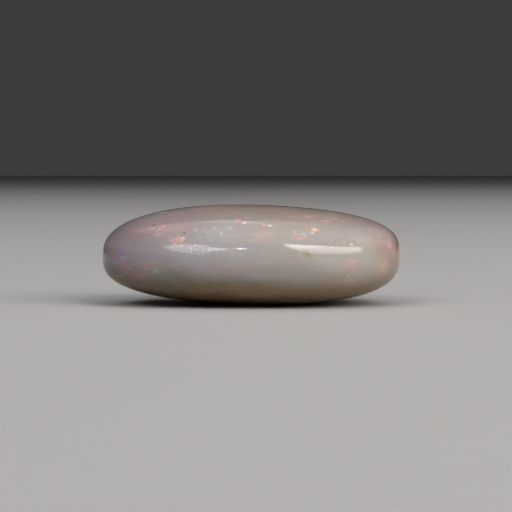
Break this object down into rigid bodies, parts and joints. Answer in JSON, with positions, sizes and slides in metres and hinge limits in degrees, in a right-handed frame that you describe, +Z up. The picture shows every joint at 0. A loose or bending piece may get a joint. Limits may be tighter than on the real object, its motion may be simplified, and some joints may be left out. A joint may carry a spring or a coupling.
{
  "type": "polished opal cabochon",
  "caption": "Polished milky opal cut as a long oval, with a domed top, a rounded base with a small resting flat, and flecks of pink and orange fire.",
  "frame": {"origin": "on the surface the stone rests on, under the middle of its length and width", "axes": "+X along the stone's length towards its fuller, blunter end; +Y across it, away from the side that the picture shows; +Z up through the dome"},
  "size_m": [0.017, 0.0118, 0.0057],
  "materials": {
    "milky_opal": "high polish, milky and slightly translucent, grey with a pink and violet cast to the left, warm cream to the right and brown underneath, with small flecks of orange, pink, green and violet"
  },
  "bodies": {
    "root": {"opal_stone": "milky_opal"}
  },
  "joints": []
}
